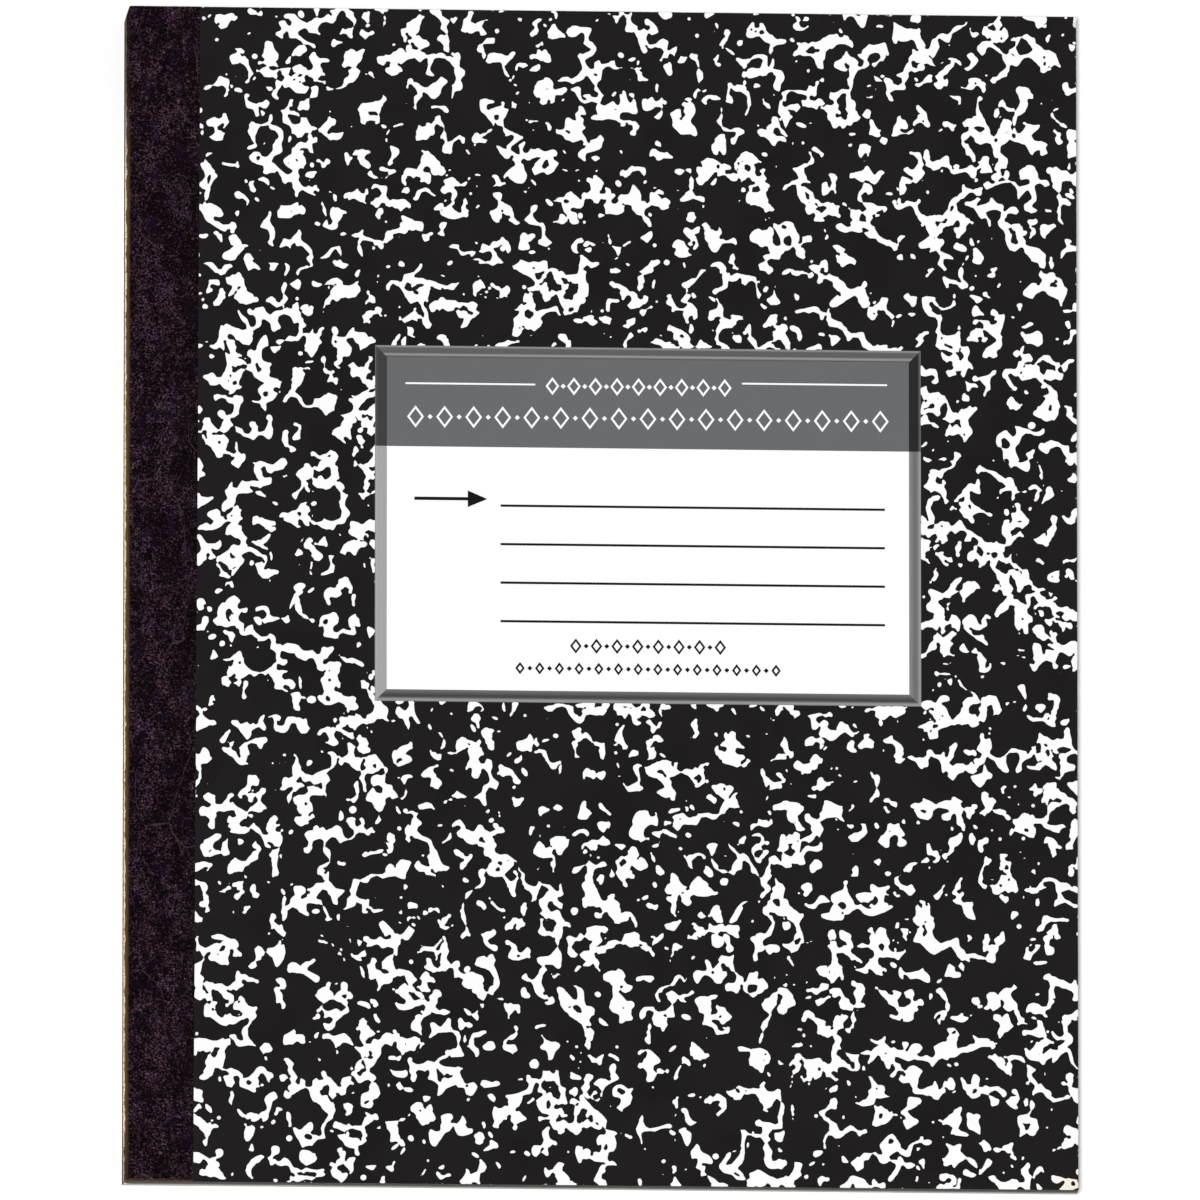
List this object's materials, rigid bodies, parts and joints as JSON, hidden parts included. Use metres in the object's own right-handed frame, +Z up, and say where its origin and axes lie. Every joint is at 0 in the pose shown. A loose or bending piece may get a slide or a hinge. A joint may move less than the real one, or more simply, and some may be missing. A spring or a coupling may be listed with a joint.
{
  "type": "composition notebook",
  "caption": "Sewn notebook with marbled board covers, a cloth tape along the spine and a bevelled name label on the front. Both covers open about the spine.",
  "frame": {"origin": "middle of the closed notebook's footprint, on the surface that it lies on, back cover down", "axes": "+X from the spine to the fore edge, +Y from the tail to the head, +Z up out of the front cover"},
  "size_m": [0.2032, 0.254, 0.0058],
  "materials": {
    "writing_paper": "uncoated",
    "thread": "waxed thread",
    "spine_cloth": "glued cloth tape",
    "cover_board": "printed paper on board",
    "marble_white": "printed",
    "label_white": "printed",
    "label_rim_grey": "printed",
    "label_header_grey": "printed",
    "label_black": "printed"
  },
  "bodies": {
    "pages": {"page_block": "writing_paper", "binding_thread": "thread", "tape_spine_web": "spine_cloth"},
    "front_cover": {"front_board": "cover_board", "tape_front_flap": "spine_cloth", "name_label": "label_white", "label_rim": "label_rim_grey", "label_header": "label_header_grey", "label_rules": "label_black", "header_ornament": "label_white", "label_marks": "label_black"},
    "back_cover": {"back_board": "cover_board", "tape_back_flap": "spine_cloth"}
  },
  "joints": [
    {"name": "front_cover_hinge", "type": "hinge", "parent": "pages", "child": "front_cover", "pos_m": [-0.1017, 0, 0.00475], "axis": [0, -1, 0], "range_deg": [0, 180]},
    {"name": "back_cover_hinge", "type": "hinge", "parent": "pages", "child": "back_cover", "pos_m": [-0.1017, 0, 0.00105], "axis": [0, 1, 0], "range_deg": [0, 180]}
  ]
}
